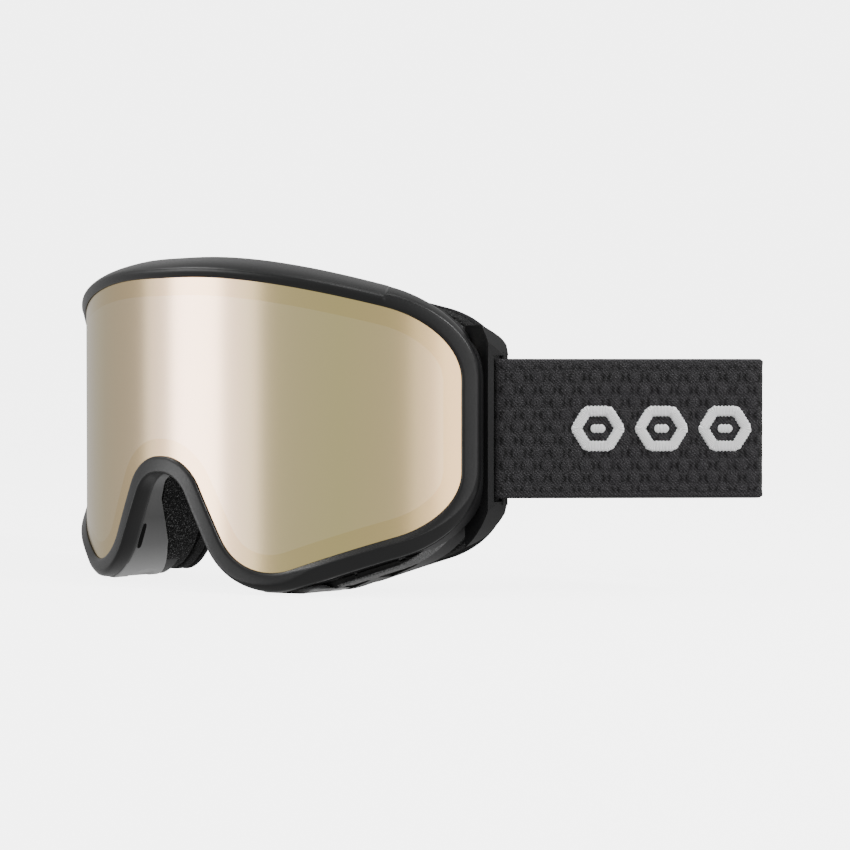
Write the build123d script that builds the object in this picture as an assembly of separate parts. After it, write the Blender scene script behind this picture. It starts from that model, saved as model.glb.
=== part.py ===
from build123d import *
import math
import os

# Ski goggles, one assembly of separate pieces, millimetres.
# The wearer's left is +X, the lens faces -Y and +Z is up. Y is first measured from the middle of
# the lens front and Z from the middle of the lens opening, then everything moves at the end.

# ---- lens opening, front view, right half of the control polygon ----
lens_radius = 105.0
lens_half_width = 83.5
top_height = 45.3
top_half_flat = 38.3
side_top = 31.0
side_bottom = -25.2
lobe_half = 30.6
lobe_height = -45.5
nose_half = 10.3
nose_height = -8.1
top_blend = 200.0
upper_corner_radius = 22.0
lower_corner_radius = 20.0
lobe_radius = 18.0
nose_radius = 16.0

# ---- lens pack ----
outer_lens_thickness = 1.2
inner_lens_thickness = 0.8
spacer_thickness = 3.0
spacer_width = 5.5
lens_overlap = 1.8
fit = 0.05

# ---- front rim ----
rim_width = 6.1
rim_nose_width = 4.7
rim_proud = 1.2
bead_width = 2.6
rim_depth = 9.0
rim_depth_side = 1.2
shoulder_depth = 3.4
shoulder_depth_side = 0.2
pocket_gap = 0.2

# ---- chassis ----
chassis_depth = 26.0
chassis_depth_side = 14.0
wall = 1.8
chassis_top = 1.0
chassis_base = 7.0
chassis_nose = 3.2
side_inset = 4.0
band_side = 2.4
band_depth = 4.0
step_height = 2.0
seat_width = 10.0
front_flange_width = 3.0
nose_liner = 1.4
liner_gap = 0.3

# ---- face foam ----
foam_base_thickness = 4.5
foam_core_thickness = 4.5
fleece_thickness = 2.0
foam_width = 11.0
foam_margin = 2.0

# ---- vents ----
top_vent_count = 7
top_vent_pitch = 18.0
vent_length = 13.0
vent_depth = 6.0
base_vent_count = 3
base_vent_pitch = 12.5
base_vent_start = 38.0
base_vent_length = 10.5
vent_foam_thickness = 1.2
mesh_thickness = 0.8
mesh_edge = 0.4
mesh_start = 36.0
mesh_end = 7.0

# ---- strap and wings ----
strap_width = 40.0
webbing = 1.6
layer_gap = 0.4
strap_splay = 44.0
wing_splay = 16.0
strap_height = 0.9
bar_radius = 1.2
bar_clearance = 0.8
bar_out = 4.34
bar_back = 12.8
side_run = 77.0
fold_stop = 2.7
tail_fold_stop = 8.2
slot_margin = 1.0
slot_front = 4.2
wing_top = 33.0
wing_base = -36.0
wing_side_reach = 6.2
converge_run = 26.0

# ---- sliders on the strap ----
slider_run = 114.0
slider_bar = 2.2
slider_span = 20.0
slider_rail = 2.4
slider_gap = 0.4
slider_side = 0.6
loop_lap = 12.0
tail_gap = 0.6

# ---- stitching, grip lines and woven motif ----
stitch_width = 3.0
stitch_inset = 4.0
grip_count = 3
grip_pitch = 9.0
grip_width = 3.0
grip_height = 0.4
grip_length = 26.0
motif_height = 13.0
motif_length = 15.5
motif_gap = 2.8
motif_count = 3
motif_start = 19.0
motif_relief = 0.35

rest_level = 46.8
tall = 200.0

# ---- derived places ----
side_depth = lens_radius - math.sqrt(lens_radius**2 - lens_half_width**2)
side_share = math.cos(math.asin(lens_half_width / lens_radius))
out_dir = Vector(math.cos(math.radians(strap_splay)), -math.sin(math.radians(strap_splay)))
run_dir = Vector(math.sin(math.radians(strap_splay)), math.cos(math.radians(strap_splay)))
wing_out = Vector(math.cos(math.radians(wing_splay)), -math.sin(math.radians(wing_splay)))
wing_run = Vector(math.sin(math.radians(wing_splay)), math.cos(math.radians(wing_splay)))
bar_point = Vector(lens_half_width + bar_out, side_depth + bar_back)
main_offset = bar_radius + bar_clearance + webbing / 2
layer_offset = webbing + layer_gap
fold_point = bar_point + out_dir * main_offset + run_dir * side_run
strap_back = fold_point.Y + webbing / 2 + slider_gap + slider_bar
move_y = -(strap_back - rim_proud) / 2
move_z = rest_level


def shifted_corners(top, side, base, nose):
    """Control polygon of the lens opening with every side moved outward by its own amount."""
    corners = [
        Vector(0, top_height),
        Vector(top_half_flat, top_height),
        Vector(lens_half_width, side_top),
        Vector(lens_half_width, side_bottom),
        Vector(lobe_half, lobe_height),
        Vector(nose_half, nose_height),
        Vector(0, nose_height),
    ]
    moves = [top, top, side, base, nose, nose]
    lines = []
    for start, end, amount in zip(corners[:-1], corners[1:], moves):
        along = (end - start).normalized()
        outward = Vector(-along.Y, along.X)
        lines.append((start + outward * amount, along))
    found = []
    for (p, d), (q, e) in zip(lines[:-1], lines[1:]):
        cross = d.X * e.Y - d.Y * e.X
        reach = ((q.X - p.X) * e.Y - (q.Y - p.Y) * e.X) / cross
        found.append(p + d * reach)
    return found


def half_turn(before, corner, after):
    """Tangent of half the turn at a corner: a fillet's radius times this is its reach."""
    turn = (corner - before).get_angle(after - corner)
    return math.tan(math.radians(turn) / 2)


def outline(top, side, base, nose):
    """Closed face of the lens opening, each side moved outward by its own amount."""
    right = shifted_corners(top, side, base, nose)
    wanted = [
        top_blend,
        upper_corner_radius + (top + side) / 2,
        lower_corner_radius + (side + base) / 2,
        lobe_radius + (base + nose) / 2,
        nose_radius - nose,
    ]
    ring = [Vector(-right[0].X, right[0].Y)] + right + [Vector(-right[-1].X, right[-1].Y)]
    turns = [half_turn(*ring[i : i + 3]) for i in range(len(right))]
    radii = list(wanted)
    for i in (4, 3, 2, 1, 0):
        ahead = (ring[i + 2] - ring[i + 1]).length
        behind = (ring[i + 1] - ring[i]).length
        share_ahead = ahead / 2 if i == 4 else ahead - radii[i + 1] * turns[i + 1]
        share_behind = behind / 2 if i == 0 else behind * 0.6
        radii[i] = min(wanted[i], 0.97 * share_ahead / turns[i], 0.97 * share_behind / turns[i])
    left = [Vector(-p.X, p.Y) for p in reversed(right)]
    path = FilletPolyline(right + left, radius=radii + radii[::-1], close=True)
    return make_face(path)


def prism(top, side, base, nose):
    """The outline carried straight back along Y through the whole goggle."""
    face = Plane((0, -20, 0), x_dir=(1, 0, 0), z_dir=(0, -1, 0)) * outline(top, side, base, nose)
    return extrude(face, amount=-(lens_radius + 18.0))


def upright(radius, front):
    """Upright cylinder whose front touches the plane at the given depth."""
    return Pos(0, front + radius, 0) * Cylinder(radius, tall)


def back_wall(depth, depth_side):
    """Upright cylinder through a middle depth and a depth at the lens side."""
    sag = side_depth + depth_side - depth
    radius = (lens_half_width**2 + sag**2) / (2 * sag)
    return upright(radius, depth)


def face_wall(lift):
    """Cylinder concentric with the face side of the chassis, moved back by the lift."""
    sag = side_depth + chassis_depth_side - chassis_depth
    radius = (lens_half_width**2 + sag**2) / (2 * sag)
    return Pos(0, chassis_depth + radius, 0) * Cylinder(radius - lift, tall)


def lens_shell(near, thick):
    """Shell concentric with the lens, counted inward from the lens front."""
    return upright(lens_radius - near, near) - upright(lens_radius - near - thick, near + thick)


def slab(x0, x1, y0, y1, z0, z1):
    """Box between two corners."""
    return Pos((x0 + x1) / 2, (y0 + y1) / 2, (z0 + z1) / 2) * Box(x1 - x0, y1 - y0, z1 - z0)


def ribbon(points, radii, width, height, middle):
    """Upright webbing of the given thickness that follows a plan path."""
    path = FilletPolyline([(p.X, p.Y) for p in points], radius=radii)
    strip = trace(path, width)
    return Pos(0, 0, middle - height / 2) * extrude(strip, amount=height)


def straight(start, end, width, height, middle):
    """Straight upright webbing between two plan points."""
    strip = trace(Line((start.X, start.Y), (end.X, end.Y)), width)
    return Pos(0, 0, middle - height / 2) * extrude(strip, amount=height)


def on_path(start, along, out, distance, offset):
    """Plan point at a distance along a run and an offset across it."""
    return start + along * distance + out * offset


floor = slab(-150, 150, -50, 200, -rest_level, 150)
parts = {}

# ---- lenses and the foam spacer between them ----
pack_side = -0.6
outer_prism = prism(lens_overlap, lens_overlap * side_share, lens_overlap, lens_overlap)
inner_prism = prism(lens_overlap, pack_side, lens_overlap, lens_overlap)
spacer_hole = prism(-spacer_width, -spacer_width * side_share, -spacer_width, -spacer_width)
spacer_at = outer_lens_thickness + fit
inner_at = spacer_at + spacer_thickness + fit
pack_back = inner_at + inner_lens_thickness
parts["outer_lens"] = outer_prism & lens_shell(0, outer_lens_thickness)
parts["lens_spacer"] = (inner_prism & lens_shell(spacer_at, spacer_thickness)) - spacer_hole
parts["inner_lens"] = inner_prism & lens_shell(inner_at, inner_lens_thickness)

# ---- front rim: a bead round the lens and a lower shoulder outside it ----
opening = prism(0, 0, 0, 0)
bead = prism(bead_width, bead_width * side_share, bead_width, rim_nose_width)
rim_body = prism(rim_width, rim_width * side_share, rim_width, rim_nose_width)
bead_part = bead & upright(lens_radius + rim_proud, -rim_proud)
shoulder_part = rim_body & back_wall(shoulder_depth - rim_proud, shoulder_depth_side - rim_proud)
seat_gap = lens_overlap + pocket_gap
seat = prism(seat_gap, seat_gap * side_share, seat_gap, seat_gap)
rim = (bead_part + shoulder_part) - back_wall(rim_depth, rim_depth_side) - opening
rim = rim - (seat & upright(lens_radius + fit, -fit))
parts["front_rim"] = rim & floor

# ---- chassis: seat for the lenses, vented walls, foam seat, wings with strap slots ----
rim_back = back_wall(rim_depth + fit, rim_depth_side + fit)
band_back = back_wall(rim_depth + band_depth, rim_depth_side + band_depth)
rear = prism(chassis_top, -side_inset, chassis_base, chassis_nose)
band = prism(chassis_top, band_side, chassis_base - step_height, chassis_nose)
step_back = back_wall(rim_depth + band_depth + wall, rim_depth_side + band_depth + wall)
hollow = prism(chassis_top - wall, -side_inset - wall, chassis_base - wall, chassis_nose - wall)
hollow_band = prism(
    chassis_top - wall,
    -side_inset - wall,
    chassis_base - step_height - wall,
    chassis_nose - wall,
)
lip = prism(
    -front_flange_width,
    -front_flange_width - side_inset,
    -front_flange_width,
    -front_flange_width,
)
inner_seat = prism(lens_overlap, pack_side, lens_overlap, lens_overlap)
face_cut = face_wall(0)
flange_front = upright(lens_radius - pack_back - fit, pack_back + fit)
flange_back = upright(lens_radius - pack_back - fit - wall, pack_back + fit + wall)
front_flange = (inner_seat & flange_front) - flange_back - lip
walls = ((rear & band_back) + ((band & rim_back) - band_back)) - face_cut
walls = walls - (hollow_band & flange_back) - (hollow & flange_back & step_back) - lip
foam_seat = (rear & face_wall(-wall)) - face_cut
foam_seat = foam_seat - prism(
    chassis_top - wall - seat_width,
    -side_inset - wall - seat_width,
    chassis_base - wall - seat_width,
    chassis_nose - wall - seat_width / 2,
)
frame = walls + front_flange + foam_seat
pocket_inner = prism(seat_gap, pack_side + pocket_gap, seat_gap, seat_gap)
pocket = pocket_inner - flange_front
outer_pocket = seat - upright(lens_radius - outer_lens_thickness - fit, outer_lens_thickness + fit)

# side plates that carry the strap, rounded in side view
wing_plan = Polyline(
    (lens_half_width - side_inset - wall / 2, side_depth + 6.4),
    (lens_half_width + 4.0, side_depth + 6.4),
    tuple(bar_point + wing_out * bar_radius),
    tuple(bar_point + wing_out * bar_radius / 2 + wing_run * bar_radius),
    tuple(bar_point - wing_out * bar_radius + wing_run * bar_radius),
    (lens_half_width - side_inset - wall / 2, side_depth + 9.0),
    close=True,
)
wing_side = FilletPolyline(
    (side_depth - 6.0, wing_top - 6.5),
    (side_depth - 2.0, wing_top),
    (side_depth + 8.0, wing_top - 3.0),
    (bar_point.Y + bar_radius + 0.4, wing_top - 7.0),
    (bar_point.Y + bar_radius + 0.4, wing_base + 8.0),
    (side_depth + 8.0, wing_base + 3.0),
    (side_depth - 2.0, wing_base),
    (side_depth - 6.0, wing_base + 6.5),
    radius=[2.0, 2.0, 14.0, 5.5, 5.5, 14.0, 2.0, 2.0],
    close=True,
)
wing = Pos(0, 0, -tall / 2) * extrude(make_face(wing_plan), amount=tall)
side_face = Plane.YZ * make_face(wing_side)
wing = wing & extrude(side_face, amount=tall)
slot_half = strap_width / 2 + slot_margin
window = Box(30, 40, 2 * slot_half)
window = Pos(15 - 5, 20 - slot_front, 0) * window
window = Pos(bar_point.X, bar_point.Y, strap_height) * Rot(0, 0, -wing_splay) * window
window = window & slab(lens_half_width - side_inset, 200, 0, 200, -50, 60)
bar = Pos(bar_point.X, bar_point.Y, strap_height) * Cylinder(bar_radius, 2 * slot_half + 2.0)
wing_front = prism(rim_width, wing_side_reach, chassis_base, chassis_nose)
wing = ((wing & wing_front) - window) + bar
frame = frame + wing + mirror(wing, about=Plane.YZ)
frame = frame - pocket
frame = frame - outer_pocket


def depth_at(x):
    """Depth of the rim's back at a place across the front."""
    sag = side_depth + rim_depth_side - rim_depth
    radius = (lens_half_width**2 + sag**2) / (2 * sag)
    return rim_depth + radius - math.sqrt(radius**2 - x**2)


for index in range(top_vent_count):
    x = (index - (top_vent_count - 1) / 2) * top_vent_pitch
    y = depth_at(x) + band_depth + wall + 0.5
    frame = frame - slab(
        x - vent_length / 2, x + vent_length / 2, y, y + vent_depth, side_top - 8.0, top_height + 20
    )
for index in range(base_vent_count):
    x = base_vent_start + index * base_vent_pitch
    y = depth_at(x) + band_depth + wall + 0.5
    hole = slab(
        x - base_vent_length / 2, x + base_vent_length / 2, y, y + vent_depth,
        lobe_height - 20, side_bottom - 2.0,
    )
    frame = frame - hole - mirror(hole, about=Plane.YZ)
parts["face_frame"] = frame & floor

# ---- nose bridge: a satin liner under the nose arch, with a vent slot and a notch each side ----
liner_base = chassis_base - 2.0 * wall
liner = prism(chassis_top - wall, -side_inset - wall, liner_base, chassis_nose + nose_liner)
liner = liner - prism(chassis_top - wall, -side_inset - wall, liner_base, chassis_nose + fit)
liner = (liner & rim_back) - face_wall(-liner_gap) - rear - band
liner_window = slab(0, lobe_half + 4.0, -50, 100, -rest_level, 60)
liner_window = liner_window + mirror(liner_window, about=Plane.YZ)
liner = liner & liner_window
slot_cut = slab(nose_half + 3.0, lobe_half - 6.0, rim_depth + 1.6, rim_depth + 3.4, -38.0, -29.5)
notch = Pos(lobe_half - 3.0, rim_depth + 9.0, -rest_level) * Rot(0, 90, 0) * Cylinder(3.4, 24)
for cut in (slot_cut, notch):
    liner = liner - cut - mirror(cut, about=Plane.YZ)
parts["nose_bridge"] = liner & floor

# ---- foam against the face: base, core and fleece, each following the face curve ----
foam_out = prism(
    chassis_top - foam_margin,
    -side_inset - 0.6,
    chassis_base - foam_margin,
    chassis_nose - 0.6,
)
foam_in = prism(
    chassis_top - foam_margin - foam_width,
    -side_inset - 0.6 - foam_width,
    chassis_base - foam_margin - foam_width,
    chassis_nose - 0.6 - foam_width * 0.7,
)
foam_ring = (foam_out - foam_in) & floor
level = fit
for name, thick in (
    ("face_foam_base", foam_base_thickness),
    ("face_foam_core", foam_core_thickness),
    ("face_fleece", fleece_thickness),
):
    parts[name] = (foam_ring & face_wall(level)) - face_wall(level + thick)
    level = level + thick + fit

# ---- vent foam strips behind the openings ----
strip_nose = chassis_nose - wall - fit
strip_out = prism(
    chassis_top - wall - fit, -side_inset - wall - fit, chassis_base - wall - fit, strip_nose
)
strip_in = prism(
    chassis_top - wall - fit - vent_foam_thickness,
    -side_inset - wall - fit - vent_foam_thickness,
    chassis_base - wall - fit - vent_foam_thickness,
    strip_nose,
)
strip_start = band_depth + wall + fit
strip_end = strip_start + vent_depth + 1.0
strip = (strip_out - strip_in) & back_wall(rim_depth + strip_start, rim_depth_side + strip_start)
strip = strip - back_wall(rim_depth + strip_end, rim_depth_side + strip_end) - face_wall(-wall - fit)
strip = strip & upright(lens_radius - pack_back - 2 * fit - wall, pack_back + 2 * fit + wall)
top_reach = (top_vent_count - 1) / 2 * top_vent_pitch + vent_length / 2 + 1.5
parts["vent_foam_top"] = strip & slab(-top_reach, top_reach, -20, 100, 5, 80)
base_low = base_vent_start - base_vent_length / 2 - 1.5
base_high = base_vent_start + (base_vent_count - 1) * base_vent_pitch + base_vent_length / 2 + 1.5
base_strip = strip & slab(base_low, base_high, -20, 100, -80, -5) & floor
parts["vent_foam_bottom_left"] = base_strip
parts["vent_foam_bottom_right"] = mirror(base_strip, about=Plane.YZ)

# grey mesh on the front of the step under the rim
mesh_front = band_depth - mesh_thickness - fit
mesh_ring = prism(chassis_top, -side_inset, chassis_base - mesh_edge, chassis_nose)
mesh_ring = mesh_ring - prism(
    chassis_top, -side_inset, chassis_base - step_height + fit, chassis_nose
)
mesh_ring = mesh_ring & back_wall(rim_depth + mesh_front, rim_depth_side + mesh_front)
mesh_ring = mesh_ring - back_wall(rim_depth + band_depth - fit, rim_depth_side + band_depth - fit)
mesh_box = slab(mesh_start, lens_half_width - mesh_end, -20, 100, -80, -5)
mesh_strip = (mesh_ring & mesh_box & floor) - band
parts["vent_mesh_left"] = mesh_strip
parts["vent_mesh_right"] = mirror(mesh_strip, about=Plane.YZ)

# ---- strap, left side: one webbing from the fold, round the slot bar and back inside ----
main_start = bar_point + out_dir * main_offset
inner_start = bar_point - out_dir * main_offset
close_side = on_path(main_start, run_dir, out_dir, converge_run, -layer_offset)
loop_points = [
    on_path(main_start, run_dir, out_dir, side_run - fold_stop, 0),
    on_path(main_start, run_dir, out_dir, -main_offset, 0),
    on_path(inner_start, run_dir, out_dir, -main_offset, 0),
    on_path(inner_start, run_dir, out_dir, 3.0, 0),
    close_side,
    on_path(main_start, run_dir, out_dir, side_run - tail_fold_stop, -layer_offset),
]
loop_radii = [main_offset - 0.01, main_offset - 0.01, 12.0, 12.0]
strap_run = ribbon(loop_points, loop_radii, webbing, strap_width, strap_height)
parts["strap_run_left"] = strap_run
parts["strap_run_right"] = mirror(strap_run, about=Plane.YZ)

# bar-tack that joins the two layers behind the slot
tack_at = converge_run + 6.0
tack = straight(
    on_path(main_start, run_dir, out_dir, tack_at - stitch_width / 2, -layer_offset / 2),
    on_path(main_start, run_dir, out_dir, tack_at + stitch_width / 2, -layer_offset / 2),
    layer_gap,
    strap_width - 2 * stitch_inset,
    strap_height,
)
parts["strap_tack_left"] = tack
parts["strap_tack_right"] = mirror(tack, about=Plane.YZ)

# ---- strap, back run: one straight length between the folds ----
back_run = straight(
    Vector(fold_point.X - fold_stop, fold_point.Y),
    Vector(-fold_point.X + fold_stop, fold_point.Y),
    webbing,
    strap_width,
    strap_height,
)
parts["strap_back_run"] = back_run

# ---- sliders: outer bars outside the strap, a middle bar inside it that holds the tail ----
slider_x = fold_point.X - slider_run
bar_inside = webbing / 2 + slider_gap + webbing + layer_gap + slider_bar / 2
rail_low = fold_point.Y - bar_inside - slider_bar / 2
rail_high = fold_point.Y + webbing / 2 + slider_gap + slider_bar
half_window = strap_width / 2 + slider_side
outer_bar = slab(
    slider_x - slider_span / 2,
    slider_x - slider_span / 2 + slider_bar,
    fold_point.Y + webbing / 2 + slider_gap,
    rail_high,
    strap_height - half_window - slider_rail,
    strap_height + half_window + slider_rail,
)
other_bar = Pos(slider_span - slider_bar, 0, 0) * outer_bar
middle_bar = Pos(slider_x, fold_point.Y - bar_inside, strap_height) * Cylinder(
    slider_bar / 2, 2 * half_window + slider_rail
)
rail = slab(
    slider_x - slider_span / 2,
    slider_x + slider_span / 2,
    rail_low,
    rail_high,
    strap_height + half_window,
    strap_height + half_window + slider_rail,
)
rail = fillet(rail.edges().filter_by(Axis.Z), slider_bar * 0.6)
low_rail = mirror(rail, about=Plane((0, 0, strap_height), z_dir=(0, 0, 1)))
slider = rail + low_rail + outer_bar + other_bar + middle_bar
parts["slider_left"] = slider
parts["slider_right"] = mirror(slider, about=Plane.YZ)

# the tail goes round the middle bar and is sewn to itself
bar_y = fold_point.Y - bar_inside
lap_offset = slider_bar / 2 + layer_gap + webbing / 2
lap_points = [
    Vector(slider_x + loop_lap, bar_y + lap_offset),
    Vector(slider_x - lap_offset, bar_y + lap_offset),
    Vector(slider_x - lap_offset, bar_y - lap_offset),
    Vector(slider_x + loop_lap - 3.0, bar_y - lap_offset),
]
lap = ribbon(lap_points, [lap_offset - 0.01, lap_offset - 0.01], webbing, strap_width, strap_height)
parts["tail_loop_left"] = lap
parts["tail_loop_right"] = mirror(lap, about=Plane.YZ)

# the tail between the fold and the loop
tail_y = bar_y + lap_offset
tail = straight(
    Vector(slider_x + loop_lap + tail_gap, tail_y),
    Vector(fold_point.X - tail_fold_stop, tail_y),
    webbing,
    strap_width,
    strap_height,
)
parts["strap_tail_left"] = tail
parts["strap_tail_right"] = mirror(tail, about=Plane.YZ)

# ---- grip lines inside the back run and the woven motif outside the side runs ----
grips = []
grip_y = fold_point.Y - webbing / 2 - fit - grip_height / 2
for index in range(grip_count):
    z = strap_height + (index - (grip_count - 1) / 2) * grip_pitch
    grips.append(Pos(0, grip_y, z) * Box(grip_length, grip_height, grip_width))
parts["strap_grips"] = Compound(grips)

marks = []
mark_shift = webbing / 2 + motif_relief / 2
for index in range(motif_count):
    begin = motif_start + index * (motif_length + motif_gap)
    mark = straight(
        on_path(main_start, run_dir, out_dir, begin, mark_shift),
        on_path(main_start, run_dir, out_dir, begin + motif_length, mark_shift),
        motif_relief,
        motif_height,
        strap_height,
    )
    marks.append(mark)
motif = Compound(marks)
parts["strap_motif_left"] = motif
parts["strap_motif_right"] = mirror(motif, about=Plane.YZ)

# ---- write every piece at its place: Z = 0 under the rim, origin midway front to back ----
os.makedirs("parts", exist_ok=True)
for name, shape in parts.items():
    export_step(Pos(0, move_y, move_z) * shape, "parts/" + name + ".step")
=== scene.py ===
import bpy
import bmesh
import math
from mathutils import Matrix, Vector


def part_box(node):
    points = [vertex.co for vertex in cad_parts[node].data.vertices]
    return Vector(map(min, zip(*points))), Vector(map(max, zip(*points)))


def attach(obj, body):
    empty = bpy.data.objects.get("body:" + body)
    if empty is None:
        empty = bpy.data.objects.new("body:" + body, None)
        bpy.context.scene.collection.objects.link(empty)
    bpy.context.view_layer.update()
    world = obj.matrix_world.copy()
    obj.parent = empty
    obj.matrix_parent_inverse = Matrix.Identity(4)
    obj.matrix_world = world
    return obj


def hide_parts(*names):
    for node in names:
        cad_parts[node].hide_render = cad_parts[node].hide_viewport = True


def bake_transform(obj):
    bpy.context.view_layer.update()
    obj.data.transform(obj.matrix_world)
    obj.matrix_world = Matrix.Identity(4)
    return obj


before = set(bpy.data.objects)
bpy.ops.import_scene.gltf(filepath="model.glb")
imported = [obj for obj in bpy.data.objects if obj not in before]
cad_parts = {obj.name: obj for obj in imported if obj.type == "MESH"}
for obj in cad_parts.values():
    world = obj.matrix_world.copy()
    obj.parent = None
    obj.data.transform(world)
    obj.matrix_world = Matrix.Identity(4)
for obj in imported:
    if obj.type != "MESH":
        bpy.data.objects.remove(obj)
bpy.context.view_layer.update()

# ---------------------------------------------------------------- sizes, in millimetres
LENS_R = 105.0
LENS_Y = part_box("outer_lens")[0][1] * 1000
MID_Z = 46.8
HALF = 83.5
SPLAY = math.radians(44.0)
SIDE_Y = LENS_Y + LENS_R - math.sqrt(LENS_R ** 2 - HALF ** 2)
OUT = Vector((math.cos(SPLAY), -math.sin(SPLAY), 0))
RUN = Vector((math.sin(SPLAY), math.cos(SPLAY), 0))
BAR = Vector((HALF + 4.34, SIDE_Y + 12.8, 0))
STRAP_Z = MID_Z + 0.9
WEB = 1.6
WEB_WIDTH = 40.0
RELIEF = 0.2
MAIN = 2.8
RUN_LENGTH = 77.0
FOLD = BAR + OUT * MAIN + RUN * RUN_LENGTH
SLIDER_X = FOLD.x - 114.0
SLIDER_BAR = 1.1
SLIDER_GAP = 0.4


def link(name, mesh):
    """New object in the scene for a mesh."""
    obj = bpy.data.objects.new(name, mesh)
    bpy.context.scene.collection.objects.link(obj)
    return obj


def grid_mesh(name, rows, close_rows=False, close_cols=False, uvs=None, smooth=True):
    """Mesh from rows of points in millimetres; every row has the same number of points."""
    mesh = bpy.data.meshes.new(name)
    n = len(rows)
    m = len(rows[0])
    verts = [(p[0] / 1000, p[1] / 1000, p[2] / 1000) for row in rows for p in row]
    faces = []
    corners = []
    for i in range(n if close_rows else n - 1):
        for j in range(m if close_cols else m - 1):
            i2, j2 = (i + 1) % n, (j + 1) % m
            faces.append((i * m + j, i * m + j2, i2 * m + j2, i2 * m + j))
            corners.append(((i, j), (i, j + 1), (i + 1, j + 1), (i + 1, j)))
    if not close_rows and close_cols:
        faces.append(tuple(range(m - 1, -1, -1)))
        faces.append(tuple((n - 1) * m + j for j in range(m)))
        corners.append(tuple((0, j) for j in range(m - 1, -1, -1)))
        corners.append(tuple((n - 1, j) for j in range(m)))
    mesh.from_pydata(verts, [], faces)
    if uvs:
        layer = mesh.uv_layers.new(name="cloth")
        k = 0
        for face in corners:
            for i, j in face:
                layer.data[k].uv = uvs(i, j)
                k += 1
    mesh.polygons.foreach_set("use_smooth", [smooth] * len(mesh.polygons))
    mesh.update()
    bm = bmesh.new()
    bm.from_mesh(mesh)
    bmesh.ops.recalc_face_normals(bm, faces=bm.faces)
    bm.to_mesh(mesh)
    bm.free()
    return link(name, mesh)


# ---------------------------------------------------------------- the outline of the lens opening
CORNERS = [(0, 45.3), (38.3, 45.3), (83.5, 31.0), (83.5, -25.2), (30.6, -45.5), (10.3, -8.1), (0, -8.1)]
RADII = [200.0, 22.0, 20.0, 18.0, 16.0]


def outline(top=0.0, side=0.0, base=0.0, nose=0.0, fine=1):
    """Right half of the opening as (x, z) points and a place 0..6, from the top middle to the nose middle."""
    pts = [Vector(p) for p in CORNERS]
    moves = [top, top, side, base, nose, nose]
    lines = []
    for a, b, amount in zip(pts[:-1], pts[1:], moves):
        d = (b - a).normalized()
        lines.append((a + Vector((-d.y, d.x)) * amount, d))
    poly = [Vector((0, 45.3 + top))]
    for (p, d), (q, e) in zip(lines[:-1], lines[1:]):
        cross = d.x * e.y - d.y * e.x
        t = ((q.x - p.x) * e.y - (q.y - p.y) * e.x) / cross
        poly.append(p + d * t)
    poly.append(Vector((0, -8.1 - nose)))
    grow = [0, (top + side) / 2, (side + base) / 2, (base + nose) / 2, -nose]
    radii = [r + g for r, g in zip(RADII, grow)]
    tans = []
    for i in range(1, 6):
        turn = (poly[i] - poly[i - 1]).angle(poly[i + 1] - poly[i])
        tans.append(math.tan(turn / 2))
    for i in (4, 3, 2, 1, 0):
        ahead = (poly[i + 2] - poly[i + 1]).length
        behind = (poly[i + 1] - poly[i]).length
        free = ahead if i == 4 else ahead - radii[i + 1] * tans[i + 1]
        held = behind if i == 0 else behind * 0.6
        radii[i] = min(radii[i], 0.97 * free / tans[i], 0.97 * held / tans[i])
    straight = [3 * fine, 5 * fine, 10 * fine, 8 * fine, 6 * fine, 3 * fine]
    arcs = [10 * fine, 12 * fine, 12 * fine, 14 * fine, 12 * fine]
    out = []
    cursor = poly[0]
    for i in range(5):
        corner = poly[i + 1]
        d0 = (corner - poly[i]).normalized()
        d1 = (poly[i + 2] - corner).normalized()
        reach = radii[i] * tans[i]
        a, b = corner - d0 * reach, corner + d1 * reach
        for k in range(straight[i]):
            out.append((cursor.lerp(a, k / straight[i]), i + 0.5 * k / straight[i]))
        turn = 2 * math.atan(tans[i])
        side_sign = 1 if d0.x * d1.y - d0.y * d1.x > 0 else -1
        normal = Vector((-d0.y, d0.x)) * side_sign
        center = a + normal * radii[i]
        for k in range(arcs[i]):
            t = turn * k / arcs[i]
            spoke = -normal * math.cos(t) + d0 * math.sin(t)
            out.append((center + spoke * radii[i], i + 0.5 + 0.5 * k / arcs[i]))
        cursor = b
    for k in range(straight[5] + 1):
        out.append((cursor.lerp(poly[6], k / straight[5]), 5 + k / straight[5]))
    return out


def ring(points):
    """Whole closed outline from its right half: (point, place) with the left half mirrored."""
    left = [(Vector((-p.x, p.y)), t) for p, t in reversed(points[1:-1])]
    return points + left


def unrolled(fine=1):
    """The opening as (s, z) along the lens surface, with outward normals and places."""
    loop = ring(outline(fine=fine))
    pts = [Vector((LENS_R * math.asin(p.x / LENS_R), p.y)) for p, t in loop]
    n = len(pts)
    out = []
    for i in range(n):
        d = (pts[(i + 1) % n] - pts[i - 1]).normalized()
        out.append((pts[i], Vector((-d.y, d.x)), loop[i][1]))
    return out


def on_lens(s, z, h):
    """Point at arc length s, height z and distance h in front of the lens surface."""
    a = s / LENS_R
    r = LENS_R + h
    return Vector((r * math.sin(a), LENS_Y + LENS_R - r * math.cos(a), max(0.0, MID_Z + z)))


def sag(x):
    """Depth of the lens surface behind its foremost line, at x across the front."""
    return LENS_R - math.sqrt(LENS_R ** 2 - x ** 2)


def spline(keys, place):
    """Value on the straight line between two keyed places."""
    for (t0, a), (t1, b) in zip(keys[:-1], keys[1:]):
        if t0 <= place <= t1:
            t = (place - t0) / (t1 - t0)
            return a + (b - a) * t
    return keys[0][1] if place < keys[0][0] else keys[-1][1]


def mix(a, b, t):
    """Section part of the way from one to another, with an eased start and end."""
    t = t * t * (3 - 2 * t)
    return [(p[0] + (q[0] - p[0]) * t, p[1] + (q[1] - p[1]) * t) for p, q in zip(a, b)]


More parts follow.
